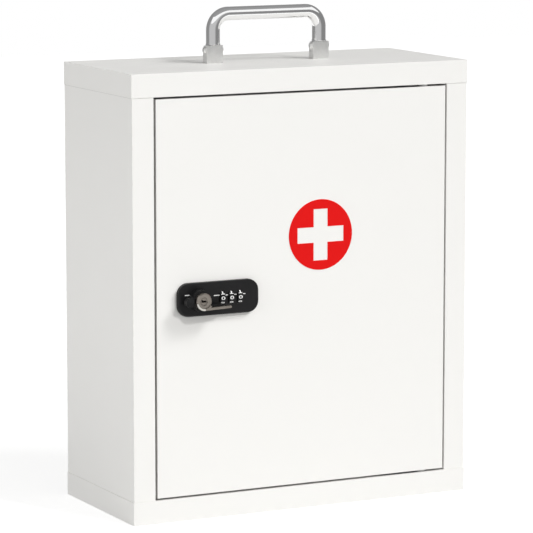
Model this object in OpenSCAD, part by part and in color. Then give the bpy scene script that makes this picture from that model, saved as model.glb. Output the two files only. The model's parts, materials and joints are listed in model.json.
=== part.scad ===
// Lockable medicine cabinet: a small white board box with an inset door, a black
// combination lock with a thumb lever, a red and white cross and a fold-down handle.
// The origin is at the centre of the bottom face. The door faces -Y and +Z is up.

/* [Cabinet] */
// Width over the top and bottom boards
cab_w = 300; // [280:1:400]
// Height over the top and bottom boards
cab_h = 357; // [330:1:450]
// Depth from the front edge to the back
cab_d = 132; // [128:1:180]
// Thickness of the carcass boards
board_t = 18.6; // [18:0.2:22]
// Step of the side boards behind the edges of the top and bottom boards
lip = 0.4; // [0:0.1:1]
// Thickness of the back panel
back_t = 3; // [3:0.5:4]
// Thickness of the shelves
shelf_t = 15; // [12:1:18]
// Distance of the shelves behind the front
shelf_setback = 30; // [29:1:45]
// Distance between the two wall screws
wall_screw_spacing = 180; // [120:1:200]

/* [Door] */
// Thickness of the door
door_t = 16; // [15:0.5:16.5]
// Gap between the door and the boards around it
door_gap = 1.7; // [1.6:0.1:2.5]
// Distance of the hinge pins from the hinged edge
pivot_in = 17; // [17:0.5:22]
// Distance of the hinge pins behind the door's face
pivot_back = 7; // [6:0.5:7]

/* [Emblem] */
// Diameter of the red disc
emblem_d = 57; // [40:1:80]
// Length of the cross
cross_l = 41.5; // [28:0.5:50]
// Width of the arms of the cross
cross_w = 12.6; // [8:0.2:16]
// Distance of the emblem to the right of the middle
emblem_x = 15.3; // [5:0.1:40]
// Height of the emblem
emblem_z = 222; // [200:1:265]

/* [Lock] */
// Width of the lock's front plate
plate_w = 70.2; // [68:0.1:72]
// Height of the lock's front plate
plate_h = 26.7; // [26:0.1:30]
// Thickness of the lock's front plate
plate_t = 4.6; // [4.5:0.1:5]
// Corner radius of the lock's front plate
plate_r = 9; // [6:0.5:12]
// Distance of the lock's middle from the door's left edge
lock_in = 52; // [51:0.1:54]
// Distance from the knob's axis to the lock's middle
knob_left = 18.2; // [17.5:0.1:18.2]
// Distance between two dials
dial_pitch = 7.65; // [7.65:0.01:7.7]
// Radius of a dial
dial_r = 7; // [6.9:0.1:7.1]
// Length of the thumb lever from the knob's axis
lever_l = 23.4; // [22:0.1:28]
// Length of the locking cam from the knob's axis
cam_l = 33.3; // [31:0.1:33.5]

/* [Handle] */
// Distance between the handle's legs
handle_span = 96; // [80:1:160]
// Diameter of the handle bar
bar_d = 11; // [8:0.5:11]
// Height of the bar's middle above the cabinet
bar_h = 39.2; // [30:0.1:60]
// Bend radius at the bar's middle line
bend_r = 13; // [10:0.5:20]
// Height of the pivot pins above the cabinet
pivot_h = 10.4; // [9:0.1:14]

/* [Hidden] */
$fn = 48;
// A cut runs this far past the face it opens
past = 1;
// Radial clearance of a fixed pin or screw, and of a running one
fixed_fit = 0.02;
running_fit = 0.05;

// Places of the boards and the room between them
front_y = -cab_d / 2;
back_y = cab_d / 2;
side_out = cab_w / 2 - lip;
side_in = side_out - board_t;
side_mid = side_out - board_t / 2;
floor_z = board_t;
ceiling_z = cab_h - board_t;
room_h = (ceiling_z - floor_z - 2 * shelf_t) / 3;
lower_shelf_z = floor_z + room_h;
upper_shelf_z = lower_shelf_z + shelf_t + room_h;

// Back panel and hanging rail
rebate_w = 8;
panel_play = 0.1;
rail_t = 15;
rail_h = 50;
wall_hole_r = 2.5;
panel_y = back_y - back_t;
rail_y = panel_y - rail_t;
rail_mid_z = ceiling_z - rail_h / 2;

// Fasteners of the carcass
dowel_r = 4;
dowel_half = [18, 12];
rail_dowel_r = 3;
rail_dowel_half = 12;
rail_dowel_dz = 13;
cam_y = 38;
cam_drop = 24;
cam_disc_r = 7.4;
cam_disc_t = 13.4;
bolt_r = 2.9;
bolt_neck_r = 1.9;
bolt_thread_r = 2.5;
bolt_thread_l = 11;
pin_r = 2.5;
pin_half = 8;
pin_ys = [-20, 46];
// Screws with a countersunk head: length, radius and radius of the head
back_screw = [14, 1.25, 2.6];
leaf_screw = [15, 1.5, 2.9];
strike_screw = [14, 1.5, 2.9];
stop_screw = [22, 1.5, 2.9];
plate_screw = [9, 1, 2];
// Back screws: from the ends of the side boards, and from the middle of the end boards
back_screw_dz = 75;
back_screw_dx = 70;

// Door and its hinges
door_half = side_in - door_gap;
door_bottom = floor_z + door_gap;
door_top = ceiling_z - door_gap;
door_back = front_y + door_t;
pivot_x = door_half - pivot_in;
pivot_y = front_y + pivot_back;
leaf_w = 9;
leaf_l = 40;
leaf_t = 2.4;
leaf_play = 0.15;
leaf_screws_x = [-14, -30];
hinge_pin_r = 2;
washer_r = 4;
washer_play = 0.1;
strike_t = 1.6;
strike_lip = 11.5;
strike_half_h = 15;
strike_front = door_back + 0.6;
strike_back = door_back + 28;
strike_screw_ys = [door_back + 12, door_back + 23];
stop_size = [10, 12, 20];
stop_front = door_back + 2;
stop_zs = [60, cab_h - 60];
bumper_r = 4;
bumper_play = 0.05;
emblem_t = 0.2;

// Lock, in its own frame: x right, y into the door from its face, z up
lock_z = 177.7;
body_half = [31, 10.5];
wall = 1.6;
cavity_half = [29.4, 9.2];
cavity_front = wall - plate_t;
partition_x = -3.6;
back_plate_half = [38, 17];
back_plate_t = 1.5;
post_half = [28.4, 7];
post_r = 2;
knob_z = 0;
neck_r = 6;
spindle_r = 4.2;
square = 6;
grip_r = 8.6;
grip_back = -plate_t - 0.25;
grip_front = -12;
arm_front = -13;
face_front = -16;
face_r = 6.6;
rim_r = 7.1;
plug_r = 2.8;
plug_front = -14.9;
plug_back = -0.6;
cam_front = 19;
cam_t = 2.5;
dial_w = 4.4;
// The dials stand this far out of the plate
dial_proud = 1.9;
dial_y = dial_r - plate_t - dial_proud;
dial_mid_x = 10.55;
dial_xs = [for (i = [-1:1]) dial_mid_x + i * dial_pitch];
dial_shaft_r = 1.5;
dial_play = 0.3;
hub_r = 2.3;
flange_x = 3.5;
flange_t = 0.7;
flange_r = 4.2;
// The gate in a dial's flange goes down to this radius
gate_r = 2.9;
tooth_t = 0.7;
tooth_x = 4.475;
fence_y = [9.2, 10.8];
// Throw of the eccentric, so that a quarter turn moves the fence by 2 mm
throw = 1;
eccentric_r = 5.6;
eccentric_play = 0.1;

// Handle brackets
bracket_size = [14.4, 7.6, 14.2];
ear_t = 1.6;
bracket_wall = 1.2;
bracket_base = 3.4;
handle_pin_r = 1.5;
rivet_r = 2.5;
rivet_h = 1.5;
tongue_w = 10.8;
tongue_t = 4.4;
shoulder = 4;
handle_screw_r = 2;
handle_head = [4, 3];

white = [0.96, 0.96, 0.95];
steel = [0.75, 0.75, 0.74];
zinc = [0.82, 0.80, 0.77];
black = [0.12, 0.12, 0.12];

// ---------- shared shapes ----------

// Box from its lowest corner to its highest
module block(low, high) {
    translate(low) cube(high - low);
}

// Round rod along X, Y or Z through the origin's axis
module x_rod(r, from, to) {
    translate([from, 0, 0]) rotate([0, 90, 0]) cylinder(r = r, h = to - from);
}
module y_rod(r, from, to) {
    translate([0, from, 0]) rotate([-90, 0, 0]) cylinder(r = r, h = to - from);
}
module z_rod(r, from, to) {
    translate([0, 0, from]) cylinder(r = r, h = to - from);
}

// The same shape at the upper and the lower end of the cabinet
module flip_z() {
    translate([0, 0, cab_h]) mirror([0, 0, 1]) children();
}
module both_ends() {
    children();
    flip_z() children();
}
module both_sides() {
    children();
    mirror([1, 0, 0]) children();
}

// Flat bar with round ends, from x = -length to 0, its top face at z = 0
module round_bar(length, width, thickness) {
    r = width / 2;
    translate([-length + r, -r, -thickness]) cube([length - width, width, thickness]);
    for (x = [-r, r - length]) {
        translate([x, 0, -thickness]) cylinder(r = r, h = thickness);
    }
}

// Rectangle with round corners in the XZ plane, from y = 0 to the thickness
module round_plate(half, r, thickness) {
    block([-half[0] + r, 0, -half[1]], [half[0] - r, thickness, half[1]]);
    block([-half[0], 0, -half[1] + r], [half[0], thickness, half[1] - r]);
    for (x = [r - half[0], half[0] - r], z = [r - half[1], half[1] - r]) {
        translate([x, 0, z]) y_rod(r, 0, thickness);
    }
}

// Countersunk screw that points down from its flat head at z = 0
module sunk_screw(size) {
    length = size[0];
    r = size[1];
    head_r = size[2];
    sink = head_r - r;
    slot = [0.62 * head_r, 0.14 * r + 0.125, 0.7 * sink];
    difference() {
        union() {
            z_rod(r, r - length, -sink / 2);
            translate([0, 0, -sink]) cylinder(r1 = r, r2 = head_r, h = sink);
            translate([0, 0, -length]) cylinder(r1 = r / 5, r2 = r, h = r);
        }
        for (turn = [0, 90]) {
            rotate([0, 0, turn]) block(-slot, [slot[0], slot[1], past]);
        }
    }
}
// Hole for that screw, a little wider, open at the top
module sunk_hole(size) {
    r = size[1];
    head_r = size[2];
    sink = head_r - r;
    z_rod(r + running_fit, -size[0] - 0.5, past);
    translate([0, 0, -sink]) cylinder(r1 = r + 0.1, r2 = head_r + 0.1, h = sink);
    z_rod(head_r + 0.1, 0, past);
}

// ---------- carcass fasteners ----------

module dowel_at(play) {
    translate([side_mid, 0, ceiling_z]) {
        z_rod(dowel_r + play, -dowel_half[0] - play, dowel_half[1] + play);
    }
}
module cam_axis() {
    for (y = [-cam_y, cam_y]) translate([side_mid, y, ceiling_z]) children();
}
module rail_dowel_at(play) {
    for (dz = [-rail_dowel_dz, rail_dowel_dz]) {
        translate([side_in, rail_y + rail_t / 2, rail_mid_z + dz]) {
            x_rod(rail_dowel_r + play, -rail_dowel_half - play, rail_dowel_half + play);
        }
    }
}
module shelf_pin_places() {
    for (y = pin_ys, z = [lower_shelf_z, upper_shelf_z]) {
        translate([side_in, y, z - pin_r - fixed_fit]) children();
    }
}
// Back panel screws point towards the front from the back face
module back_screw_places() {
    edge = rebate_w / 2;
    for (side = [-1, 1], z = [back_screw_dz, cab_h / 2, cab_h - back_screw_dz]) {
        translate([side * (side_in + edge), back_y, z]) rotate([-90, 0, 0]) children();
    }
    for (x = [-back_screw_dx, back_screw_dx], z = [floor_z - edge, ceiling_z + edge]) {
        translate([x, back_y, z]) rotate([-90, 0, 0]) children();
    }
}
module back_screw_holes() {
    back_screw_places() sunk_hole(back_screw);
}
// Room behind the boards that the back panel lies in
module back_rebate() {
    edge = rebate_w;
    block([-side_in - edge, panel_y - panel_play, floor_z - edge],
        [side_in + edge, back_y + past, ceiling_z + edge]);
}
module strike_screw_places() {
    for (y = strike_screw_ys) {
        translate([strike_t - side_in, y, lock_z + knob_z]) rotate([0, 90, 0]) children();
    }
}
module stop_screw_places() {
    for (z = stop_zs) {
        translate([stop_size[0] - side_in, stop_front + stop_size[1] / 2, z]) {
            rotate([0, 90, 0]) children();
        }
    }
}

// ---------- hinges ----------

module upper_door_leaf_place() {
    translate([pivot_x, pivot_y, door_top]) children();
}
module upper_frame_leaf_place() {
    translate([pivot_x, pivot_y, ceiling_z]) mirror([0, 0, 1]) children();
}
module leaf_screw_places() {
    for (x = leaf_screws_x) translate([x, 0, 0]) children();
}
module hinge_leaf(hole_r) {
    difference() {
        translate([leaf_w / 2, 0, 0]) round_bar(leaf_l + leaf_w / 2, leaf_w, leaf_t);
        z_rod(hole_r, -leaf_t - past, past);
        leaf_screw_places() sunk_hole(leaf_screw);
    }
}
// Mortise for a leaf with the holes of its screws
module leaf_pocket() {
    width = leaf_w + 2 * leaf_play;
    translate([width / 2, 0, past]) {
        round_bar(leaf_l + width / 2 + leaf_play, width, leaf_t + past + fixed_fit);
    }
    leaf_screw_places() sunk_hole(leaf_screw);
}

// ---------- boards ----------

module end_board() {
    difference() {
        block([-cab_w / 2, front_y, ceiling_z], [cab_w / 2, back_y, cab_h]);
        back_rebate();
        back_screw_holes();
        both_sides() dowel_at(running_fit);
        both_sides() cam_axis() z_rod(bolt_thread_r + fixed_fit, -past, bolt_thread_l + 0.5);
        upper_frame_leaf_place() leaf_pocket();
    }
}
module handle_screw_places() {
    for (side = [-1, 1]) translate([side * handle_span / 2, 0, ceiling_z]) children();
}
module top_board() {
    color(white) difference() {
        end_board();
        handle_screw_places() {
            z_rod(handle_screw_r + 0.2, -past, board_t + past);
            z_rod(handle_head[0] + 0.6, -past, handle_head[1] + 0.6);
        }
    }
}
module bottom_board() {
    color(white) flip_z() end_board();
}

module side_board() {
    difference() {
        block([side_in, front_y + lip, floor_z], [side_out, back_y, ceiling_z]);
        back_rebate();
        back_screw_holes();
        rail_dowel_at(running_fit);
        shelf_pin_places() x_rod(pin_r + fixed_fit, -past, pin_half + 0.5);
        both_ends() {
            dowel_at(running_fit);
            cam_axis() {
                z_rod(bolt_r + 1.1, -cam_drop, past);
                translate([side_in - side_mid, 0, -cam_drop]) {
                    x_rod(cam_disc_r + 0.1, -past, cam_disc_t + 0.1);
                }
            }
        }
    }
}
module left_side() {
    color(white) difference() {
        mirror([1, 0, 0]) side_board();
        strike_screw_places() sunk_hole(strike_screw);
        stop_screw_places() sunk_hole(stop_screw);
    }
}
module right_side() {
    color(white) side_board();
}
module wall_holes() {
    for (side = [-1, 1]) {
        translate([side * wall_screw_spacing / 2, 0, rail_mid_z]) {
            y_rod(wall_hole_r, rail_y - past, back_y + past);
        }
    }
}
module back_panel() {
    edge = rebate_w - panel_play;
    color(white) difference() {
        block([-side_in - edge, panel_y, floor_z - edge], [side_in + edge, back_y, ceiling_z + edge]);
        back_screw_holes();
        wall_holes();
    }
}
module hanging_rail() {
    color(white) difference() {
        block([panel_play - side_in, rail_y, ceiling_z - rail_h],
            [side_in - panel_play, panel_y, ceiling_z - panel_play]);
        both_sides() rail_dowel_at(running_fit);
        wall_holes();
    }
}
module shelf(z) {
    end_play = 0.5;
    color(white) block([end_play - side_in, front_y + shelf_setback, z],
        [side_in - end_play, panel_y - end_play, z + shelf_t]);
}

// ---------- fasteners and fittings of the carcass ----------

module shelf_pins() {
    color(steel) both_sides() shelf_pin_places() {
        x_rod(pin_r, 0.5 - pin_half, pin_half);
        translate([-pin_half, 0, 0]) rotate([0, 90, 0]) cylinder(r1 = pin_r - 0.5, r2 = pin_r, h = 0.5);
    }
}
module corner_dowels() {
    color("burlywood") both_sides() both_ends() dowel_at(0);
}
module rail_dowels() {
    color("burlywood") both_sides() rail_dowel_at(0);
}
module cam_bolt() {
    z_rod(bolt_thread_r, -past, bolt_thread_l);
    z_rod(bolt_r, -19.5, 0);
    z_rod(bolt_neck_r, -22.5, -19.5);
    z_rod(bolt_r, -25.5, -22.5);
    translate([0, 0, -26.5]) cylinder(r1 = bolt_neck_r, r2 = bolt_r, h = 1);
}
module cam_bolts() {
    color(steel) both_sides() both_ends() cam_axis() cam_bolt();
}
module cam_disc() {
    difference() {
        translate([side_in - side_mid, 0, -cam_drop]) difference() {
            x_rod(cam_disc_r, 0, cam_disc_t);
            for (turn = [45, 135]) {
                rotate([turn, 0, 0]) block([-past, -4, -0.6], [1.6, 4, 0.6]);
            }
        }
        z_rod(bolt_r + 0.4, -cam_drop - 3.4, past);
    }
}
module cam_discs() {
    color(zinc) both_sides() both_ends() cam_axis() cam_disc();
}
module back_screws() {
    color(steel) back_screw_places() sunk_screw(back_screw);
}
module strike_plate() {
    z_mid = lock_z + knob_z;
    color(steel) difference() {
        union() {
            block([-side_in, strike_front, z_mid - strike_half_h],
                [strike_t - side_in, strike_back, z_mid + strike_half_h]);
            block([-side_in, strike_front, z_mid - strike_half_h],
                [strike_lip - side_in, strike_front + strike_t, z_mid + strike_half_h]);
        }
        strike_screw_places() sunk_hole(strike_screw);
    }
}
module strike_screws() {
    color(steel) strike_screw_places() sunk_screw(strike_screw);
}
module door_stops() {
    color(white) difference() {
        for (z = stop_zs) {
            block([-side_in, stop_front, z - stop_size[2] / 2],
                [stop_size[0] - side_in, stop_front + stop_size[1], z + stop_size[2] / 2]);
        }
        stop_screw_places() sunk_hole(stop_screw);
    }
}
module stop_screws() {
    color(steel) stop_screw_places() sunk_screw(stop_screw);
}

// ---------- door and hinges ----------

module lock_place() {
    translate([lock_in - door_half, front_y, lock_z]) children();
}
module door_panel() {
    cut = 0.3;
    color(white) difference() {
        block([-door_half, front_y, door_bottom], [door_half, door_back, door_top]);
        both_ends() upper_door_leaf_place() leaf_pocket();
        lock_place() {
            block([-body_half[0] - cut, -past, -body_half[1] - cut],
                [body_half[0] + cut, door_t + past, body_half[1] + cut]);
        }
    }
}
module cross_emblem() {
    arm = [cross_l / 2, cross_w / 2];
    color([0.89, 0.11, 0.11]) translate([emblem_x, front_y - emblem_t, emblem_z]) difference() {
        y_rod(emblem_d / 2, 0, emblem_t);
        block([-arm[0], -past, -arm[1]], [arm[0], past, arm[1]]);
        block([-arm[1], -past, -arm[0]], [arm[1], past, arm[0]]);
    }
}
module hinge_upper_door_leaf() {
    color(steel) upper_door_leaf_place() hinge_leaf(hinge_pin_r + running_fit);
}
module hinge_lower_door_leaf() {
    flip_z() hinge_upper_door_leaf();
}
module hinge_upper_frame_leaf() {
    color(steel) upper_frame_leaf_place() hinge_leaf(hinge_pin_r + fixed_fit);
}
module hinge_lower_frame_leaf() {
    flip_z() hinge_upper_frame_leaf();
}
module hinge_pins() {
    color(steel) both_ends() translate([pivot_x, pivot_y, 0]) {
        z_rod(hinge_pin_r, door_top - leaf_t + 0.2, ceiling_z + leaf_t);
    }
}
module hinge_washers() {
    color("whitesmoke") both_ends() translate([pivot_x, pivot_y, 0]) difference() {
        z_rod(washer_r, door_top + washer_play, ceiling_z - washer_play);
        z_rod(hinge_pin_r + running_fit, door_top, ceiling_z);
    }
}
module frame_leaf_screws() {
    color(steel) both_ends() upper_frame_leaf_place() leaf_screw_places() sunk_screw(leaf_screw);
}
module door_leaf_screws() {
    color(steel) both_ends() upper_door_leaf_place() leaf_screw_places() sunk_screw(leaf_screw);
}
module door_bumpers() {
    thickness = stop_front - door_back - bumper_play;
    x = stop_size[0] / 2 - side_in + 0.5;
    color("gainsboro") for (z = stop_zs) translate([x, door_back, z]) {
        y_rod(bumper_r, 0, thickness - 0.5);
        translate([0, thickness - 0.5, 0]) rotate([-90, 0, 0]) {
            cylinder(r1 = bumper_r, r2 = bumper_r - 0.7, h = 0.5);
        }
    }
}

// ---------- lock ----------

module lock_posts(r, from, to) {
    for (x = [-post_half[0], post_half[0]], z = [-post_half[1], post_half[1]]) {
        translate([x, 0, z]) y_rod(r, from, to);
    }
}
// One corner of the front plate, with its front edge rounded
module plate_corner() {
    edge = 1.4;
    steps = 4;
    rotate([90, 0, 0]) rotate_extrude($fn = 32) {
        polygon(concat([[0, 0], [plate_r, 0]],
            [for (i = [0:steps]) [plate_r - edge + edge * cos(i * 90 / steps),
                plate_t - edge + edge * sin(i * 90 / steps)]],
            [[0, plate_t]]));
    }
}
module lock_front_plate() {
    hull() {
        for (x = [plate_r - plate_w / 2, plate_w / 2 - plate_r],
            z = [plate_r - plate_h / 2, plate_h / 2 - plate_r]) {
            translate([x, 0, z]) plate_corner();
        }
    }
}
module knob_place() {
    translate([-knob_left, 0, knob_z]) children();
}
module lock_housing() {
    screw_y = door_t - 10;
    slot_half_w = dial_w / 2 + dial_play;
    passage = 3.4;
    color(black) lock_place() difference() {
        union() {
            difference() {
                union() {
                    lock_front_plate();
                    block([-body_half[0], -past, -body_half[1]], [body_half[0], door_t, body_half[1]]);
                }
                block([-cavity_half[0], cavity_front, -cavity_half[1]],
                    [cavity_half[0], door_t + past, cavity_half[1]]);
            }
            block([partition_x, cavity_front - past / 2, -cavity_half[1] - past / 2],
                [partition_x + wall, door_t, cavity_half[1] + past / 2]);
            lock_posts(post_r, cavity_front - past / 2, door_t);
            knob_place() y_rod(neck_r + 2, cavity_front - past / 2, -0.4);
        }
        knob_place() y_rod(neck_r + running_fit, -plate_t - past, past);
        for (x = dial_xs) translate([x, dial_y, 0]) {
            x_rod(dial_r + dial_play, -slot_half_w, slot_half_w);
            x_rod(flange_r + dial_play, flange_x - dial_play, flange_x + flange_t + dial_play);
        }
        translate([0, dial_y, 0]) {
            x_rod(dial_shaft_r + fixed_fit, partition_x - past, body_half[0] + past);
        }
        block([partition_x - past, fence_y[0] - 0.4, -passage],
            [partition_x + wall + past, door_t + past, passage]);
        lock_posts(1 + fixed_fit, screw_y, door_t + past);
    }
}
module plate_screw_places() {
    for (x = [-post_half[0], post_half[0]], z = [-post_half[1], post_half[1]]) {
        translate([x, door_t + back_plate_t, z]) rotate([-90, 0, 0]) children();
    }
}
module lock_back_plate() {
    color(steel) lock_place() difference() {
        translate([0, door_t, 0]) round_plate(back_plate_half, 4, back_plate_t);
        plate_screw_places() sunk_hole(plate_screw);
        knob_place() y_rod(spindle_r + running_fit, door_t - past, door_t + back_plate_t + past);
    }
}
module lock_plate_screws() {
    color(steel) lock_place() plate_screw_places() sunk_screw(plate_screw);
}
module dial_shaft() {
    color(steel) lock_place() translate([0, dial_y, 0]) x_rod(dial_shaft_r, partition_x, body_half[0]);
}
// Leaf spring against the top of the case, with one nib above each dial
module detent_spring() {
    nib_r = 0.9;
    leaf_t = 0.45;
    nib_half = 1.8;
    nib_z = dial_r + 0.35 + nib_r;
    leaf_x = [-1, 25];
    leaf_back = 13;
    color(steel) lock_place() {
        block([leaf_x[0], cavity_front + 0.5, cavity_half[1] - leaf_t],
            [leaf_x[1], leaf_back, cavity_half[1]]);
        for (x = dial_xs) translate([x, dial_y, nib_z]) x_rod(nib_r, -nib_half, nib_half);
    }
}

// Combination dial about the X axis through the origin, with its gate at the back
module dial() {
    digits = 10;
    gate_half = 1.3;
    notch_r = 0.5;
    difference() {
        union() {
            x_rod(dial_r, -dial_w / 2, dial_w / 2);
            x_rod(hub_r, 0, flange_x + flange_t);
            x_rod(flange_r, flange_x, flange_x + flange_t);
        }
        x_rod(dial_shaft_r + running_fit, -dial_w, 2 * dial_w);
        block([flange_x - 0.3, gate_r, -gate_half],
            [flange_x + flange_t + past, flange_r + past, gate_half]);
        for (i = [0:digits - 1]) {
            rotate([(i + 0.5) * 360 / digits, 0, 0]) {
                translate([0, dial_r + 0.15, 0]) x_rod(notch_r, -dial_w, dial_w);
            }
        }
    }
}
module dial_at(i) {
    color(black) lock_place() translate([dial_xs[i], dial_y, 0]) dial();
}
// Comb that passes through the gates of the dials when the knob turns
module fence_bar() {
    mid_x = throw - knob_left;
    // Half of its width, its height above the knob's axis and below it
    window = [eccentric_r + eccentric_play, 4.9, 7.2];
    rim = 1.1;
    bar_half = 3;
    bar_end = dial_xs[2] + tooth_x + tooth_t + 0.4;
    tooth_half = 0.9;
    tooth_tip = dial_y + gate_r + dial_play;
    color(steel) lock_place() {
        difference() {
            union() {
                block([mid_x, fence_y[0], -bar_half], [bar_end, fence_y[1], bar_half]);
                block([mid_x - window[0] - rim, fence_y[0], knob_z - window[2] - rim / 2],
                    [mid_x + window[0] + rim, fence_y[1], knob_z + window[1] + rim]);
            }
            block([mid_x - window[0], fence_y[0] - past, knob_z - window[2]],
                [mid_x + window[0], fence_y[1] + past, knob_z + window[1]]);
        }
        for (x = dial_xs) {
            block([x + tooth_x, tooth_tip, -tooth_half],
                [x + tooth_x + tooth_t, fence_y[0] + 0.1, tooth_half]);
        }
    }
}

// Round collar with a wing to the left and an arm to the right of the knob's axis
module knob_grip() {
    wing_l = 14.2;
    wing_r = 3.7;
    wing_z = -0.7;
    arm_l = 20;
    arm_r = 1.75;
    arm_z = -5.15;
    back = -8.5;
    // Shallow dish for a finger in the wing's front
    dish_r = 9;
    dish_depth = 0.7;
    color(black) lock_place() knob_place() difference() {
        union() {
            y_rod(neck_r, grip_back, 0.4);
            y_rod(grip_r, grip_front, grip_back);
            difference() {
                union() {
                    block([wing_r - wing_l, arm_front, wing_z - wing_r], [0, back, wing_z + wing_r]);
                    translate([wing_r - wing_l, 0, wing_z]) y_rod(wing_r, arm_front, back);
                    block([0, arm_front, arm_z - arm_r], [arm_l - arm_r, back, arm_z + arm_r]);
                    translate([arm_l - arm_r, 0, arm_z]) y_rod(arm_r, arm_front, back);
                }
                y_rod(rim_r + 0.1, face_front, grip_front);
                translate([wing_r - wing_l, arm_front + dish_depth - dish_r, wing_z]) sphere(r = dish_r);
            }
        }
        y_rod(plug_r + running_fit, face_front, past);
    }
}
// Round face with a raised rim along its lower left edge, which runs out into a blade
module thumb_lever() {
    bevel = 0.7;
    blade_t = 1.9;
    blade_z = -6.1;
    blade_front = -17;
    blade_from = 1.5;
    blade_turn = -2;
    blade_l = lever_l - blade_from - blade_t / 2;
    rim_in = 5.7;
    rim_turn = 11;
    rim_top = -2.4;
    color(zinc) lock_place() knob_place() difference() {
        union() {
            y_rod(face_r, face_front + bevel, grip_front);
            translate([0, face_front + bevel, 0]) rotate([90, 0, 0]) {
                cylinder(r1 = face_r, r2 = face_r - bevel, h = bevel);
            }
            difference() {
                y_rod(rim_r, blade_front, grip_front);
                y_rod(rim_in, blade_front - past, grip_front + past);
                rotate([0, rim_turn, 0]) {
                    block([-rim_r - past, blade_front - past, rim_top],
                        [rim_r + past, grip_front + past, rim_r + past]);
                }
            }
            translate([blade_from, 0, blade_z]) rotate([0, blade_turn, 0]) {
                block([0, blade_front, -blade_t / 2], [blade_l, arm_front, blade_t / 2]);
                translate([blade_l, 0, 0]) y_rod(blade_t / 2, blade_front, arm_front);
            }
        }
        y_rod(plug_r + running_fit, face_front - past, grip_front + past);
        translate([0, face_front + 0.6, 0]) rotate([90, 0, 0]) {
            cylinder(r1 = plug_r + running_fit, r2 = plug_r + running_fit + 0.6, h = 0.6);
        }
    }
}
module lock_spindle() {
    color(steel) lock_place() knob_place() difference() {
        union() {
            y_rod(spindle_r, 0.4, cam_front - 0.2);
            translate([throw, 0, -throw]) y_rod(eccentric_r, fence_y[0] + 0.05, fence_y[1] - 0.05);
            block([-square / 2, cam_front - 0.3, -square / 2],
                [square / 2, cam_front + cam_t - 0.1, square / 2]);
        }
        y_rod(1.5 + fixed_fit, cam_front - 8, cam_front + cam_t + past);
    }
}
module lock_cam() {
    hub = 8;
    half_w = 6;
    hole = square / 2 + 0.05;
    color(steel) lock_place() knob_place() difference() {
        union() {
            y_rod(hub, cam_front, cam_front + cam_t);
            block([-half_w, cam_front, half_w - cam_l], [half_w, cam_front + cam_t, 0]);
            translate([0, 0, half_w - cam_l]) y_rod(half_w, cam_front, cam_front + cam_t);
        }
        block([-hole, cam_front - past, -hole], [hole, cam_front + cam_t + past, hole]);
    }
}
module cam_screw() {
    head_y = cam_front + cam_t;
    color(steel) lock_place() knob_place() difference() {
        union() {
            y_rod(1.5, cam_front - 7, head_y + past / 2);
            y_rod(4.6, head_y, head_y + 0.8);
            y_rod(3, head_y + 0.8, head_y + 2.4);
        }
        for (turn = [0, 90]) {
            rotate([0, turn, 0]) block([-2, head_y + 1.2, -0.4], [2, head_y + 3, 0.4]);
        }
    }
}
// Plug with a keyway that is wide, and deeper at one end
module key_plug() {
    slot = [2.1, 0.75];
    notch = [1.2, 1.4];
    slot_back = plug_front + 9;
    color(zinc) lock_place() knob_place() difference() {
        y_rod(plug_r, plug_front, plug_back);
        block([-slot[0], plug_front - past, -slot[1]], [slot[0], slot_back, slot[1]]);
        block([-slot[0], plug_front - past, -slot[1]], [notch[0] - slot[0], slot_back, notch[1]]);
    }
}

// ---------- handle ----------

module bracket() {
    half = bracket_size / 2;
    difference() {
        union() {
            block([-half[0], -half[1], 0], [half[0], half[1], bracket_base]);
            block([-half[0], -half[1], 0], [half[0], bracket_wall - half[1], bracket_size[2]]);
            for (x = [-half[0], half[0] - ear_t]) translate([x, 0, 0]) {
                block([0, -half[1], 0], [ear_t, half[1], pivot_h]);
                block([0, -half[1], 0], [ear_t, 0, bracket_size[2]]);
                translate([0, 0, pivot_h]) x_rod(half[1], 0, ear_t);
            }
        }
        translate([0, 0, pivot_h]) x_rod(handle_pin_r + fixed_fit, -half[0] - past, half[0] + past);
        z_rod(handle_screw_r + fixed_fit, -past, bracket_base + past);
    }
}
module handle_bracket_left() {
    color(steel) translate([-handle_span / 2, 0, cab_h]) bracket();
}
module handle_bracket_right() {
    color(steel) translate([handle_span / 2, 0, cab_h]) bracket();
}
module handle_pins() {
    half = bracket_size[0] / 2;
    color(steel) for (side = [-1, 1]) translate([side * handle_span / 2, 0, cab_h + pivot_h]) {
        x_rod(handle_pin_r, -half, half);
        both_sides() {
            x_rod(rivet_r, half, half + rivet_h / 2);
            translate([half + rivet_h / 2, 0, 0]) rotate([0, 90, 0]) {
                cylinder(r1 = rivet_r, r2 = rivet_r - 0.8, h = rivet_h / 2);
            }
        }
    }
}
// Pan head screws from inside the cabinet into the brackets
module handle_screws() {
    head_z = 0.2;
    color(steel) handle_screw_places() difference() {
        union() {
            z_rod(handle_screw_r, head_z, board_t + bracket_base - 0.4);
            z_rod(handle_head[0], head_z, handle_head[1] + 0.4);
        }
        for (turn = [0, 90]) {
            rotate([0, 0, turn]) block([-2.4, -0.5, -past], [2.4, 0.5, 1.6]);
        }
    }
}
module handle_corner() {
    rotate([90, 0, 0]) rotate_extrude(angle = 90) translate([bend_r, 0]) circle(r = bar_d / 2);
}
module handle_bar() {
    half = handle_span / 2;
    top = bar_h - pivot_h;
    color([0.8, 0.8, 0.8]) translate([0, 0, cab_h + pivot_h]) difference() {
        union() {
            translate([0, 0, top]) x_rod(bar_d / 2, bend_r - half, half - bend_r);
            both_sides() {
                translate([half - bend_r, 0, top - bend_r]) handle_corner();
                translate([half, 0, 0]) z_rod(bar_d / 2, shoulder, top - bend_r);
                translate([half, 0, 0]) {
                    block([-tongue_w / 2, -tongue_t / 2, 0], [tongue_w / 2, tongue_t / 2, shoulder + past]);
                    x_rod(tongue_t / 2, -tongue_w / 2, tongue_w / 2);
                }
            }
        }
        x_rod(handle_pin_r + running_fit, -half - tongue_w, half + tongue_w);
    }
}

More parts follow.
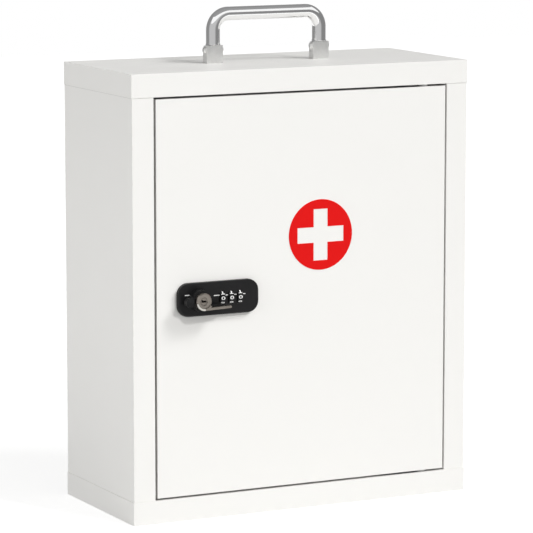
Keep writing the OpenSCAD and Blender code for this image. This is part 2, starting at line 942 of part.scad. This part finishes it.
top_board();
bottom_board();
left_side();
right_side();
back_panel();
hanging_rail();
shelf(upper_shelf_z);  // shelf_upper
shelf(lower_shelf_z);  // shelf_lower
shelf_pins();
corner_dowels();
rail_dowels();
cam_bolts();
cam_discs();
back_screws();
strike_plate();
strike_screws();
door_stops();
stop_screws();
hinge_upper_frame_leaf();
hinge_lower_frame_leaf();
hinge_pins();
hinge_washers();
frame_leaf_screws();
handle_bracket_left();
handle_bracket_right();
handle_pins();
handle_screws();
door_panel();
cross_emblem();
hinge_upper_door_leaf();
hinge_lower_door_leaf();
door_leaf_screws();
door_bumpers();
lock_housing();
lock_back_plate();
lock_plate_screws();
dial_shaft();
detent_spring();
knob_grip();
thumb_lever();
lock_spindle();
lock_cam();
cam_screw();
key_plug();
dial_at(0);  // dial_left
dial_at(1);  // dial_middle
dial_at(2);  // dial_right
fence_bar();
handle_bar();
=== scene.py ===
"""The lockable medicine cabinet, dressed for the photograph: materials, rounded edges,
the bent handle, the dials' numbers, a pale floor, soft light and the camera."""
import json
import math
import bmesh
import bpy
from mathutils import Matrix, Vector


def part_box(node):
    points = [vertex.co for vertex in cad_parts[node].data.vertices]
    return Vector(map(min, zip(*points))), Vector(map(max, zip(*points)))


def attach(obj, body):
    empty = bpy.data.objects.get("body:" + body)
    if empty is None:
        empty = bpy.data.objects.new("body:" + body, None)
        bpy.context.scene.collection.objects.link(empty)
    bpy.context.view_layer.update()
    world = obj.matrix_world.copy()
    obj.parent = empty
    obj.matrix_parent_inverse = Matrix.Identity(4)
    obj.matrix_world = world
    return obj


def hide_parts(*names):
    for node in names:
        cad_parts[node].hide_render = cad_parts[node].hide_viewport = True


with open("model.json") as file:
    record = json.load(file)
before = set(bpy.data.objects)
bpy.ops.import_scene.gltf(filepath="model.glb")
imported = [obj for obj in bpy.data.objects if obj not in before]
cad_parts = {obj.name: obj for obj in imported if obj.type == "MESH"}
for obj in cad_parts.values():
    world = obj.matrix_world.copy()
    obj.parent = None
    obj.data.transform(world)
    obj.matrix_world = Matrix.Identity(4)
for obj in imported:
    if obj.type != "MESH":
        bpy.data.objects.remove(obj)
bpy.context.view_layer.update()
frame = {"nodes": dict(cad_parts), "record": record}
record = frame["record"]
BODY = {node: body for body, nodes in record["behaviour"]["bodies"].items() for node in nodes}
SLOT = {row["node"]: row["material_slot"] for row in record["subparts"]}
JOINT = {joint["name"]: joint for joint in record["behaviour"]["joints"]}

MM = 0.001
WHITE = (1, 1, 1, 1)


# ---------- materials ----------

class Tree:
    """The node tree of a material or a world, with short ways to add to it."""

    def __init__(self, owner, output="OutputMaterial"):
        owner.use_nodes = True
        self.owner = owner
        self.output = output
        self.nodes = owner.node_tree.nodes
        self.links = owner.node_tree.links
        self.nodes.clear()

    def add(self, kind, settings=(), **inputs):
        """A new node. An input's name has _ in place of a space."""
        node = self.nodes.new("ShaderNode" + kind)
        for key, value in dict(settings).items():
            setattr(node, key, value)
        for key, value in inputs.items():
            self.put(node.inputs[key.replace("_", " ")], value)
        return node

    def put(self, socket, value):
        """Gives a socket a plain value, or links it to another node's output."""
        if isinstance(value, bpy.types.NodeSocket):
            self.links.new(value, socket)
        else:
            socket.default_value = value

    def place(self, stretch=(1, 1, 1)):
        """The point on the object in metres, stretched."""
        point = self.add("TexCoord").outputs["Object"]
        return self.add("Mapping", Vector=point, Scale=stretch).outputs["Vector"]

    def noise(self, point, size, detail=3.0, roughness=0.55):
        """Noise from 0 to 1 whose features are about as wide as the size in metres."""
        return self.add("TexNoise", Vector=point, Scale=1 / size, Detail=detail,
                        Roughness=roughness).outputs["Fac"]

    def spread(self, value, low, high, start=0.3, end=0.7):
        """The value from start to end, as a number from low to high."""
        node = self.add("MapRange")
        for socket, number in zip(node.inputs[:5], (value, start, end, low, high)):
            self.put(socket, number)
        return node.outputs[0]

    def blend(self, amount, first, second):
        """The first colour where the amount is 0 and the second where it is 1."""
        node = self.add("Mix", {"data_type": "RGBA"})
        for index, value in ((0, amount), (6, first), (7, second)):
            self.put(node.inputs[index], value)
        return node.outputs[2]

    def math(self, operation, first, second):
        """The result of a calculation with two values."""
        node = self.add("Math", {"operation": operation})
        self.put(node.inputs[0], first)
        self.put(node.inputs[1], second)
        return node.outputs[0]

    def seen(self):
        """1 for what the camera sees, also reflected or through glass, and 0 for other light."""
        path = self.add("LightPath").outputs
        either = path["Is Camera Ray"]
        for ray in ("Is Glossy Ray", "Is Transmission Ray"):
            either = self.math("MAXIMUM", either, path[ray])
        return either

    def finish(self, shader):
        """Links the shader to the output and returns the material or the world."""
        self.links.new(shader.outputs[0], self.add(self.output).inputs["Surface"])
        return self.owner


def material_tree(name):
    return Tree(bpy.data.materials.new(name))


def rgba(colour):
    """The colour with full opacity."""
    return (*colour, 1.0)


def shaded(colour, factor):
    """The colour made darker or brighter by a factor."""
    return rgba(min(1.0, part * factor) for part in colour)


# How much the noise changes from the edge of a speck, a spot of wear and a spot of painted
# highlight to its full colour
SPOT_EDGE = 0.06


def surface(name, colour, roughness, metallic=0.0, stretch=(1, 1, 1), clouds=(0.05, 0.04),
            rough=(0.004, 0.06), bump=(0.0008, 0.05, 0.00005), specks=None, wear=None, **sockets):
    """A finish with soft clouds in its colour, uneven gloss, a fine bump and perhaps spots of wear
    and painted highlight.

    clouds is (size, depth), rough is (size, spread), bump is (size, strength, depth), and specks
    and the spots of wear and painted highlight are (size, colour, share), in metres where it is a
    length.
    """
    tree = material_tree(name)
    even = tree.place()
    drawn = tree.place(stretch)
    cloud = tree.noise(even, clouds[0])
    paint = tree.blend(tree.spread(cloud, 0, 1), shaded(colour, 1 - clouds[1]),
                       shaded(colour, 1 + clouds[1]))
    for spots, detail in ((specks, 2.0), (wear, 5.0)):
        if spots:
            size, spot_colour, share = spots
            spotted = tree.noise(even, size, detail)
            where = tree.spread(spotted, 0, 1, start=1 - share, end=1 + SPOT_EDGE - share)
            paint = tree.blend(where, paint, rgba(spot_colour))
    gloss = tree.spread(tree.noise(drawn, rough[0], detail=4.0), roughness - rough[1],
                        roughness + rough[1])
    relief = tree.add("Bump", Height=tree.noise(drawn, bump[0]), Strength=bump[1],
                      Distance=bump[2])
    shader = tree.add("BsdfPrincipled", Base_Color=paint, Roughness=gloss, Metallic=metallic,
                      Normal=relief.outputs[0], **sockets)
    return tree.finish(shader)


BEECH_DARK = (0.72, 0.53, 0.33, 1)
BEECH_PALE = (0.82, 0.66, 0.46, 1)
BEECH_FLECK = (0.5, 0.32, 0.18, 1)


def beech():
    """Plain beech with a fine grain along the dowel and short dark flecks."""
    tree = material_tree("beech")
    grain = tree.noise(tree.place((0.05, 1, 0.05)), size=0.0006, detail=5.0)
    paint = tree.blend(tree.spread(grain, 0, 1), BEECH_DARK, BEECH_PALE)
    short = tree.noise(tree.place((0.2, 1, 0.2)), size=0.0004, detail=2.0)
    flecks = tree.spread(short, 0, 1, start=0.66, end=0.7)
    paint = tree.blend(flecks, paint, BEECH_FLECK)
    relief = tree.add("Bump", Height=grain, Strength=0.3, Distance=0.0001)
    return tree.finish(tree.add("BsdfPrincipled", Base_Color=paint, Roughness=0.6,
                                Normal=relief.outputs[0]))


# The finish of each material slot, of the painted shade on the boards' narrow faces beside a
# joint, and of the white print on the lock
FINISHES = {
    "white_board": dict(colour=(0.905, 0.897, 0.872), roughness=0.36, clouds=(0.12, 0.003),
                        rough=(0.02, 0.04), bump=(0.0014, 0.10, 0.00002),
                        specks=(0.0008, (0.885, 0.877, 0.85), 0.30)),
    # Painted shade: the white board darkened for the faces beside a joint
    "board_rim_painted_shade": dict(colour=(0.62, 0.614, 0.597), roughness=0.36, clouds=(0.12, 0.003),
                      rough=(0.02, 0.04), bump=(0.0014, 0.10, 0.00002),
                      specks=(0.0008, (0.60, 0.594, 0.577), 0.30)),
    "zinc_plated_steel": dict(colour=(0.66, 0.67, 0.69), roughness=0.30, metallic=1.0,
                              stretch=(1, 1, 0.12), clouds=(0.006, 0.08), rough=(0.0009, 0.09),
                              bump=(0.0004, 0.15, 0.00002)),
    "bracket_steel": dict(colour=(0.93, 0.93, 0.92), roughness=0.37, metallic=1.0,
                          stretch=(1, 1, 0.06), clouds=(0.005, 0.05), rough=(0.0005, 0.05),
                          bump=(0.0003, 0.08, 0.00001)),
    "nickel_plated_zinc": dict(colour=(0.31, 0.28, 0.248), roughness=0.36, metallic=1.0,
                               clouds=(0.004, 0.10), rough=(0.0012, 0.08),
                               bump=(0.0006, 0.25, 0.00004),
                               specks=(0.0004, (0.185, 0.162, 0.14), 0.40)),
    "chrome_bar": dict(colour=(0.93, 0.93, 0.935), roughness=0.07, metallic=1.0,
                       clouds=(0.02, 0.015), rough=(0.0015, 0.025), bump=(0.004, 0.04, 0.00002)),
    "spring_steel": dict(colour=(0.50, 0.52, 0.56), roughness=0.28, metallic=1.0,
                         stretch=(0.08, 1, 1), rough=(0.0004, 0.08), bump=(0.0003, 0.15, 0.00001)),
    "black_plastic": dict(colour=(0.0095, 0.0095, 0.010), roughness=0.42, clouds=(0.012, 0.15),
                          rough=(0.002, 0.06), bump=(0.0004, 0.22, 0.00003),
                          specks=(0.0005, (0.02, 0.019, 0.018), 0.34), Specular_IOR_Level=0.22),
    "dial_plastic": dict(colour=(0.009, 0.009, 0.0095), roughness=0.36, clouds=(0.004, 0.15),
                         rough=(0.001, 0.06), bump=(0.0003, 0.15, 0.00002),
                         Specular_IOR_Level=0.25),
    "white_plastic": dict(colour=(0.86, 0.86, 0.84), roughness=0.40, clouds=(0.008, 0.02),
                          bump=(0.0005, 0.15, 0.00002)),
    "clear_rubber": dict(colour=(0.80, 0.80, 0.77), roughness=0.46, clouds=(0.003, 0.03),
                         bump=(0.0005, 0.2, 0.00002), IOR=1.45, Transmission_Weight=0.35),
    "red_vinyl": dict(colour=(0.765, 0.0085, 0.0082), roughness=0.40, clouds=(0.02, 0.02),
                      rough=(0.006, 0.05), bump=(0.0009, 0.12, 0.00002),
                      specks=(0.0006, (0.71, 0.012, 0.0115), 0.34), Specular_IOR_Level=0.08),
    "print_white": dict(colour=(0.83, 0.83, 0.82), roughness=0.45, clouds=(0.0012, 0.05),
                        rough=(0.0006, 0.06), bump=(0.0003, 0.2, 0.00001)),
}
# What the edges look like, worn on most finishes and with a painted highlight on the nickel and the
# black plastic: size, colour and share of the spots
EDGE_WEAR_AND_HIGHLIGHT = {
    "white_board": (0.007, (0.84, 0.825, 0.79), 0.50),
    "zinc_plated_steel": (0.003, (0.80, 0.80, 0.78), 0.55),
    "bracket_steel": (0.003, (0.80, 0.80, 0.78), 0.60),
    # The bright edges of the nickel and of the black plastic are painted highlight
    "nickel_plated_zinc": (0.004, (0.78, 0.76, 0.71), 0.75),
    "black_plastic": (0.003, (0.075, 0.073, 0.070), 0.60),
    "white_plastic": (0.004, (0.78, 0.77, 0.73), 0.50),
}
MATERIALS = {name: surface(name, **finish) for name, finish in FINISHES.items()}
MATERIALS["beech"] = beech()
EDGES = {name: surface(name + "_edge", **{**FINISHES[name], "wear": wear})
         for name, wear in EDGE_WEAR_AND_HIGHLIGHT.items()}
for node_name, node in frame["nodes"].items():
    node.material_slots[0].material = MATERIALS[SLOT[node_name]]


# ---------- pieces ----------

# Edges with a larger angle are sharp, and those with a smaller one than FLAT are none
SHARP = math.radians(32)
FLAT = math.radians(0.4)
MERGE = 0.001 * MM
ROUND_STEPS = 3
# Material places of a softened piece, after its plain finish: edges with wear and painted
# highlight, and a board rim's painted shade
WEAR_AND_HIGHLIGHT_PLACE, PAINTED_SHADE_PLACE = 1, 2


def piece(name, mesh, body, slot, material=None, replaces=()):
    """Adds a mesh to the scene as a piece of the object."""
    if not mesh.materials:
        mesh.materials.append(MATERIALS[material or slot])
    item = bpy.data.objects.new(name, mesh)
    bpy.context.scene.collection.objects.link(item)
    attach(item, body)
    if replaces:
        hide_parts(*replaces)
    return item


def smooth(mesh):
    """Smooth shading that keeps the sharp edges."""
    mesh.shade_smooth()
    mesh.set_sharp_from_angle(angle=SHARP)


def rub(form, x, y):
    """Gives the faces that lie left of x and in front of y the edge finish, here a painted
    highlight.
    """
    bmesh.ops.bisect_plane(form, geom=form.verts[:] + form.edges[:] + form.faces[:],
                           plane_co=(x, 0, 0), plane_no=(1, 0, 0))
    for face in form.faces:
        middle = face.calc_center_median()
        if middle.x < x and middle.y < y:
            face.material_index = WEAR_AND_HIGHLIGHT_PLACE


def softened(name, radius, shortest, highlit=None, painted_shade=None):
    """Shows a CAD node with its sharp edges rounded, apart from edges shorter than shortest.

    The fourth argument, (x, y), gives a painted highlight to the faces that lie left of x and in
    front of y. The fifth tells from a face's normal and middle whether it gets a board rim's
    painted shade.
    """
    mesh = frame["nodes"][name].data.copy()
    if "custom_normal" in mesh.attributes:
        mesh.attributes.remove(mesh.attributes["custom_normal"])
    mesh.materials.clear()
    for finishes in (MATERIALS, EDGES):
        mesh.materials.append(finishes[SLOT[name]])
    form = bmesh.new()
    form.from_mesh(mesh)
    bmesh.ops.remove_doubles(form, verts=form.verts, dist=MERGE)
    bmesh.ops.dissolve_limit(form, angle_limit=FLAT, verts=form.verts, edges=form.edges)
    # The faces picked here get a painted highlight
    if highlit:
        rub(form, *highlit)
    edges = [edge for edge in form.edges if edge.is_manifold and edge.calc_length() >= shortest
             and edge.calc_face_angle() > SHARP]
    # The rounded edges take the edge finish: wear, and on nickel and black plastic a painted
    # highlight
    bmesh.ops.bevel(form, geom=edges, offset=radius, segments=ROUND_STEPS, profile=0.5,
                    affect="EDGES", clamp_overlap=True, material=WEAR_AND_HIGHLIGHT_PLACE)
    # The faces that the test picks get a painted shade
    if painted_shade:
        mesh.materials.append(MATERIALS["board_rim_painted_shade"])
        form.normal_update()
        for face in form.faces:
            if painted_shade(face.normal, face.calc_center_median()):
                face.material_index = PAINTED_SHADE_PLACE
    form.to_mesh(mesh)
    form.free()
    smooth(mesh)
    item = piece(name + "_soft", mesh, BODY[name], SLOT[name], replaces=[name])
    item.modifiers.new("even shading", "WEIGHTED_NORMAL").keep_sharp = True


BOARD_ROUND = dict(radius=0.3 * MM, shortest=10 * MM)
SIDE_LOW, SIDE_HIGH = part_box("left_side")
LIP_Z = SIDE_HIGH.z - BOARD_ROUND["radius"]
LIP_X = abs(SIDE_LOW.x) - BOARD_ROUND["radius"]
# A face looks along an axis when its normal's part there is larger
FACING = 0.9
KNOB_X, _, KNOB_Z = JOINT["knob_turn"]["pos_m"]
# The thumb lever gets a painted highlight in front, on the half left of the knob's axis
LEVER_HIGHLIGHT = (KNOB_X + 0.5 * MM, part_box("thumb_lever")[0].y + 0.6 * MM)


def under_lip(normal, spot):
    """Whether a side board's face is its upper rounding, just under the top board's lip."""
    return spot.z > LIP_Z and abs(spot.x) > LIP_X


def door_rim(normal, spot):
    """Whether a face of the door looks sideways, up or down."""
    return max(abs(normal.x), abs(normal.z)) > FACING


for name in ("top_board", "bottom_board", "back_panel", "hanging_rail", "shelf_upper",
             "shelf_lower"):
    softened(name, **BOARD_ROUND)
# The sides' upper roundings, under the top board's lip, get a painted shade
for name in ("left_side", "right_side"):
    softened(name, painted_shade=under_lip, **BOARD_ROUND)
# The door's rims get a painted shade, which darkens the gap round the door
softened("door_panel", painted_shade=door_rim, **BOARD_ROUND)
softened("lock_housing", radius=0.25 * MM, shortest=0.5 * MM)
softened("knob_grip", radius=0.3 * MM, shortest=0.1 * MM)
# The thumb lever's front, left of its axis, gets a painted highlight
softened("thumb_lever", radius=0.35 * MM, shortest=0.1 * MM, highlit=LEVER_HIGHLIGHT)
for name in ("handle_bracket_left", "handle_bracket_right"):
    softened(name, radius=0.3 * MM, shortest=0.3 * MM)
for name in ("strike_plate", "lock_back_plate", "lock_cam", "door_stops"):
    softened(name, radius=0.25 * MM, shortest=0.3 * MM)


# ---------- handle ----------

BRACKET_LOW, BRACKET_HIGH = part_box("handle_bracket_right")
LEG_X = (BRACKET_LOW.x + BRACKET_HIGH.x) / 2
BAR_R = 5.5 * MM
BAR_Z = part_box("handle_bar")[1].z - BAR_R
BAR_SIDES = 48
BEND_R = 13 * MM
BEND_STEPS = 24
PIVOT_Z = JOINT["handle_fold"]["pos_m"][2]
SHOULDER_Z = PIVOT_Z + 4 * MM
FOOT_ROUND = 0.4 * MM
# The flat end of each leg, whose upper end reaches into the round bar
TONGUE_W = 10.8 * MM
TONGUE_T = 4.4 * MM
TONGUE_TOP = 5 * MM
PIN_HOLE_R = 1.55 * MM
PIN_HOLE_SIDES = 48


def handle_path():
    """Points x, z along the bar's middle line from the left leg's foot to the right one's, each
    with the direction there."""
    corner_x = LEG_X - BEND_R
    corner_z = BAR_Z - BEND_R
    right = []
    for step in range(BEND_STEPS + 1):
        turn = math.pi / 2 * step / BEND_STEPS
        c, s = math.cos(turn), math.sin(turn)
        right.append((corner_x + BEND_R * s, corner_z + BEND_R * c, c, -s))
    right += [(LEG_X, z, 0, -1) for z in (SHOULDER_Z + FOOT_ROUND, SHOULDER_Z)]
    return [(-x, z, dx, -dz) for x, z, dx, dz in reversed(right)] + right


def add_bar(form):
    """A tube of one radius along the path, its foot edges rounded a little."""
    rings = []
    path = handle_path()
    for x, z, dx, dz in path:
        foot = (x, z, dx, dz) in (path[0], path[-1])
        radius = BAR_R - (FOOT_ROUND if foot else 0)
        ring = []
        for side in range(BAR_SIDES):
            turn = 2 * math.pi * side / BAR_SIDES
            out = radius * math.cos(turn)
            ring.append(form.verts.new((x + dz * out, radius * math.sin(turn), z - dx * out)))
        rings.append(ring)
    for first, second in zip(rings, rings[1:]):
        for side in range(BAR_SIDES):
            after = (side + 1) % BAR_SIDES
            form.faces.new((first[side], first[after], second[after], second[side]))
    form.faces.new(rings[0])
    form.faces.new(reversed(rings[-1]))


def add_tongue(form, middle_x):
    """The flat end of a leg, round below, with the pin's hole."""
    half_w, half_t = TONGUE_W / 2, TONGUE_T / 2
    corner = math.degrees(math.atan2(TONGUE_TOP, half_t))
    turns = sorted([360 / PIN_HOLE_SIDES * i for i in range(PIN_HOLE_SIDES)]
                   + [corner, 180 - corner])
    loops = {}
    for x in (-half_w, half_w):
        outer, inner = [], []
        for turn in turns:
            c, s = math.cos(math.radians(turn)), math.sin(math.radians(turn))
            reach = half_t if s < 0 else 1 / max(abs(c) / half_t, s / TONGUE_TOP)
            for loop, radius in ((outer, reach), (inner, PIN_HOLE_R)):
                loop.append(form.verts.new((middle_x + x, c * radius, PIVOT_Z + s * radius)))
        loops[x] = outer, inner
    for index in range(len(turns)):
        after = (index + 1) % len(turns)
        for outer, inner in loops.values():
            form.faces.new((outer[index], outer[after], inner[after], inner[index]))
        for left, right in zip(loops[-half_w], loops[half_w]):
            form.faces.new((left[index], left[after], right[after], right[index]))


bar_form = bmesh.new()
add_bar(bar_form)
for leg_x in (-LEG_X, LEG_X):
    add_tongue(bar_form, leg_x)
bmesh.ops.recalc_face_normals(bar_form, faces=bar_form.faces)
bar_mesh = bpy.data.meshes.new("handle_tube")
bar_form.to_mesh(bar_mesh)
bar_form.free()
smooth(bar_mesh)
piece("handle_tube", bar_mesh, "handle", "chrome_bar", replaces=["handle_bar"])


# ---------- numbers and marks on the lock ----------

DIAL_LOW, DIAL_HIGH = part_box("dial_left")
DIAL_R = (DIAL_HIGH.z - DIAL_LOW.z) / 2
DIGIT_H = 2.8 * MM
DIGIT_STRETCH = 1.85
DIGIT_WEIGHT = 0.02
DIGIT_STRIPS = 8
# The bar under a figure 1
FOOT_W = 1.7 * MM
FOOT_H = 0.55 * MM
PRINT_T = 0.05 * MM
PRINT_GAP = 0.01 * MM
PLATE_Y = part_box("lock_housing")[0].y
MARK_H = 0.75 * MM
# Steps in the round end of a mark
MARK_ARC = 8


def glyph(text):
    """A flat mesh of one figure, centred, x to the right and y up."""
    curve = bpy.data.curves.new("glyph", "FONT")
    curve.body = text
    curve.size = 1.0
    curve.resolution_u = 6
    curve.offset = DIGIT_WEIGHT
    holder = bpy.data.objects.new("glyph", curve)
    bpy.context.scene.collection.objects.link(holder)
    bpy.context.view_layer.update()
    mesh = bpy.data.meshes.new_from_object(holder)
    bpy.data.objects.remove(holder)
    bpy.data.curves.remove(curve)
    xs = [v.co.x for v in mesh.vertices]
    ys = [v.co.y for v in mesh.vertices]
    scale = DIGIT_H / (max(ys) - min(ys))
    middle = Vector(((max(xs) + min(xs)) / 2, (max(ys) + min(ys)) / 2, 0))
    for vertex in mesh.vertices:
        vertex.co = (vertex.co - middle) * scale
    return mesh


def add_foot(flat):
    """Puts the bar under a figure 1."""
    form = bmesh.new()
    form.from_mesh(flat)
    left, right = -FOOT_W / 2, FOOT_W / 2
    low = -DIGIT_H / 2
    high = low + FOOT_H
    corners = ((left, low), (right, low), (right, high), (left, high))
    form.faces.new([form.verts.new((x, y, 0)) for x, y in corners])
    form.to_mesh(flat)
    form.free()


def add_slab(form, flat, bend):
    """Cuts a flat mesh into strips, gives it a thickness and puts its points where bend says.

    bend makes x, y, z from a point's place on the flat mesh and its height over it.
    """
    part = bmesh.new()
    part.from_mesh(flat)
    for step in range(1, DIGIT_STRIPS):
        level = DIGIT_H * (step / DIGIT_STRIPS - 0.5)
        bmesh.ops.bisect_plane(part, geom=part.verts[:] + part.edges[:] + part.faces[:],
                               plane_co=(0, level, 0), plane_no=(0, 1, 0))
    bmesh.ops.recalc_face_normals(part, faces=part.faces)
    rim = [edge for edge in part.edges if edge.is_boundary]
    low = {v: form.verts.new(bend(v.co.x, v.co.y, -PRINT_T)) for v in part.verts}
    high = {v: form.verts.new(bend(v.co.x, v.co.y, PRINT_T)) for v in part.verts}
    for face in part.faces:
        corners = list(face.verts)
        form.faces.new([high[v] for v in corners])
        form.faces.new([low[v] for v in reversed(corners)])
    for edge in rim:
        first, second = edge.verts
        form.faces.new((low[first], low[second], high[second], high[first]))
    part.free()


def shown(name, form, body, slot):
    """Adds a finished form as a white print."""
    bmesh.ops.recalc_face_normals(form, faces=form.faces)
    mesh = bpy.data.meshes.new(name)
    form.to_mesh(mesh)
    form.free()
    piece(name, mesh, body, slot, "print_white")


DIGITS = [glyph(str(number)) for number in range(10)]
add_foot(DIGITS[1])
for side in ("left", "middle", "right"):
    dial_x, dial_y, dial_z = JOINT["dial_%s_spin" % side]["pos_m"]
    numbers = bmesh.new()
    for number, flat in enumerate(DIGITS):
        middle_turn = 2 * math.pi * number / len(DIGITS)

        def on_dial(u, v, out):
            turn = middle_turn + v / DIAL_R
            reach = DIAL_R + PRINT_GAP + out
            across = dial_x + DIGIT_STRETCH * u
            return across, dial_y - reach * math.cos(turn), dial_z + reach * math.sin(turn)

        add_slab(numbers, flat, on_dial)
    shown("dial_%s_numbers" % side, numbers, "dial_" + side, "dial_plastic")


def add_mark(form, x, z, length):
    """A flat bar with round ends on the lock's front plate."""
    r = MARK_H / 2
    outline = []
    for end in (1, -1):
        for step in range(MARK_ARC + 1):
            turn = math.pi * (step / MARK_ARC - 0.5)
            outline.append((x + end * (length / 2 - r + r * math.cos(turn)),
                            z + end * r * math.sin(turn)))
    back, front = ([form.verts.new((px, y, pz)) for px, pz in outline]
                   for y in (PLATE_Y + PRINT_T, PLATE_Y - PRINT_T))
    form.faces.new(front)
    form.faces.new(reversed(back))
    for index in range(len(outline)):
        after = (index + 1) % len(outline)
        form.faces.new((back[index], back[after], front[after], front[index]))


marks = bmesh.new()
add_mark(marks, KNOB_X + 16.2 * MM, KNOB_Z + 2.4 * MM, 5.3 * MM)
add_mark(marks, KNOB_X - 9.7 * MM, KNOB_Z + 4.2 * MM, 4.0 * MM)
for side in ("left", "middle", "right"):
    dial_x = JOINT["dial_%s_spin" % side]["pos_m"][0]
    add_mark(marks, dial_x + 3.825 * MM, KNOB_Z + 2.1 * MM, 2.3 * MM)
shown("lock_marks", marks, "door", "black_plastic")


# ---------- floor, light and camera ----------

# The floor glows for the camera and for gloss, so that it comes out white around the shadow
FLOOR_GREYS = ((0.455, 0.455, 0.45, 1), (0.47, 0.47, 0.465, 1))
FLOOR_GLOW = 0.71
FLOOR_HALF = 4.0
# How bright the world is where it lights the scene, and where it is seen
WORLD_LIGHT = 0.43
WORLD_SEEN = 1.0


def staged(name, corners, faces, material):
    """Adds a piece of the studio."""
    mesh = bpy.data.meshes.new(name)
    mesh.from_pydata(corners, [], faces)
    mesh.materials.append(material)
    item = bpy.data.objects.new(name, mesh)
    bpy.context.scene.collection.objects.link(item)
    return item


def floor_material():
    """Pale floor. To the camera, to glossy rays and through glass it is white, with the shadows."""
    tree = material_tree("floor")
    mottled = tree.noise(tree.place(), size=0.03, detail=4.0)
    pale = tree.blend(tree.spread(mottled, 0, 1), *FLOOR_GREYS)
    glow = tree.math("MULTIPLY", tree.seen(), FLOOR_GLOW)
    both = tree.add("AddShader")
    tree.put(both.inputs[0], tree.add("BsdfDiffuse", Color=pale).outputs[0])
    tree.put(both.inputs[1], tree.add("Emission", Strength=glow).outputs[0])
    return tree.finish(both)


floor_signs = ((-1, -1), (1, -1), (1, 1), (-1, 1))
floor_corners = [(x * FLOOR_HALF, y * FLOOR_HALF, 0) for x, y in floor_signs]
staged("floor", floor_corners, [range(4)], floor_material())

world = bpy.data.worlds.new("studio")
bpy.context.scene.world = world
sky = Tree(world, "OutputWorld")
sky_mix = sky.add("MixShader")
sky.put(sky_mix.inputs[0], sky.seen())
for index, strength in ((1, WORLD_LIGHT), (2, WORLD_SEEN)):
    background = sky.add("Background", Color=WHITE, Strength=strength)
    sky.put(sky_mix.inputs[index], background.outputs[0])
sky.finish(sky_mix)

# Studio cards that only glossy rays see: a round wall that is high behind and low in front, with a
# rim on the floor in front, and a ceiling disc
STUDIO_R = 2.6
STUDIO_SIDES = 48
# The wall's height in front and behind, and where along y, in radii, it begins and ends to rise
WALL_TOP = (1.35, 4.0)
RISE_BEGIN, RISE_END = -0.3, 0.2
# The rim's inner edge in front and behind, in radii
RIM_INNER = (0.44, 0.99)
RIM_Z = 0.01
# The ceiling's height, its size in radii and how far back it lies
CEILING_Z = 3.3
CEILING_SIZE = 0.97
CEILING_BACK = 0.25
# How bright the wall is at the front left, at the front right and behind, and where along x and
# along y it changes
WALL_GREYS = (0.54, 0.24, 0.27)
WALL_CHANGE_X = (0.2, 1.2)
WALL_CHANGE_Y = (-0.3, 0.4)
# How bright the ceiling is in front and behind, and where along y it changes
CEILING_GREYS = (0.34, 0.30)
CEILING_CHANGE_Y = (-1.0, 1.0)


def card(name, corners, faces, level):
    """A studio card that only glossy rays see."""
    tree = material_tree(name)
    spot = tree.add("SeparateXYZ", Vector=tree.add("TexCoord").outputs["Object"]).outputs
    grey = level(tree, spot["X"], spot["Y"])
    shader = tree.add("Emission", Color=WHITE, Strength=grey)
    item = staged(name, corners, faces, tree.finish(shader))
    for ray in ("camera", "diffuse", "shadow", "transmission", "volume_scatter"):
        setattr(item, "visible_" + ray, False)


def wall_level(tree, x, y):
    """How bright the wall is at x, y."""
    front_left, front_right, behind = WALL_GREYS
    front = tree.spread(x, front_left, front_right, *WALL_CHANGE_X)
    return tree.spread(y, front, behind, *WALL_CHANGE_Y)


def ceiling_level(tree, x, y):
    """How bright the ceiling is at x, y."""
    return tree.spread(y, *CEILING_GREYS, *CEILING_CHANGE_Y)


wall, ceiling = [], []
for step in range(STUDIO_SIDES):
    turn = 2 * math.pi * step / STUDIO_SIDES
    x, y = STUDIO_R * math.cos(turn), STUDIO_R * math.sin(turn)
    rise = min(1, max(0, (y / STUDIO_R - RISE_BEGIN) / (RISE_END - RISE_BEGIN)))
    inner, top = (low + (high - low) * rise for low, high in (RIM_INNER, WALL_TOP))
    wall += [(inner * x, inner * y, RIM_Z), (x, y, RIM_Z), (x, y, top)]
    ceiling.append((CEILING_SIZE * x, CEILING_SIZE * y + CEILING_BACK, CEILING_Z))
wall_faces = []
for start in range(0, len(wall), 3):
    after = (start + 3) % len(wall)
    for low in (0, 1):
        wall_faces.append((start + low, after + low, after + low + 1, start + low + 1))
card("wall_card", wall, wall_faces, wall_level)
card("top_card", ceiling, [range(STUDIO_SIDES)], ceiling_level)

# What the camera and the suns aim at, and what the soft boxes aim at
TARGET = Vector((0.00019, 0, 0.18820))
BOX_TARGET = (0, 0, 0.18)
SUN_AWAY = 3
CAMERA_SPOT = (-1.18378, -2.34591, 0.58422)
# Name, strength, angle across and direction towards each sun
SUNS = (("key", 0.98, 0.08, (0.336, -0.757, 0.560)),
        ("low_key", 1.52, 0.28, (0.58, -0.47, 0.665)))
# Name, place, width, height and power of each soft box
SOFT_BOXES = (("left_fill", (-3.2, -0.3, 1.0), 1.8, 1.8, 33),
              ("front_fill", (0.3, -3.2, 1.0), 1.8, 1.4, 9))


def aimed(name, data, spot, target):
    """Adds a lamp or a camera at the spot that looks at the target."""
    item = bpy.data.objects.new(name, data)
    item.location = spot
    item.rotation_euler = (Vector(target) - Vector(spot)).to_track_quat("-Z", "Y").to_euler()
    bpy.context.scene.collection.objects.link(item)
    return item


for name, strength, angle, towards in SUNS:
    sun = bpy.data.lights.new(name, "SUN")
    sun.energy = strength
    sun.angle = angle
    aimed(name, sun, TARGET + SUN_AWAY * Vector(towards), TARGET).visible_glossy = False
for name, spot, width, height, power in SOFT_BOXES:
    lamp = bpy.data.lights.new(name, "AREA")
    lamp.shape = "RECTANGLE"
    lamp.size = width
    lamp.size_y = height
    lamp.energy = power
    aimed(name, lamp, spot, BOX_TARGET).visible_glossy = False

camera = bpy.data.cameras.new("camera")
camera.sensor_width = 36
camera.lens = 219.41
camera.clip_end = 50
bpy.context.scene.camera = aimed("camera", camera, CAMERA_SPOT, TARGET)
bpy.context.scene.view_settings.view_transform = "Standard"
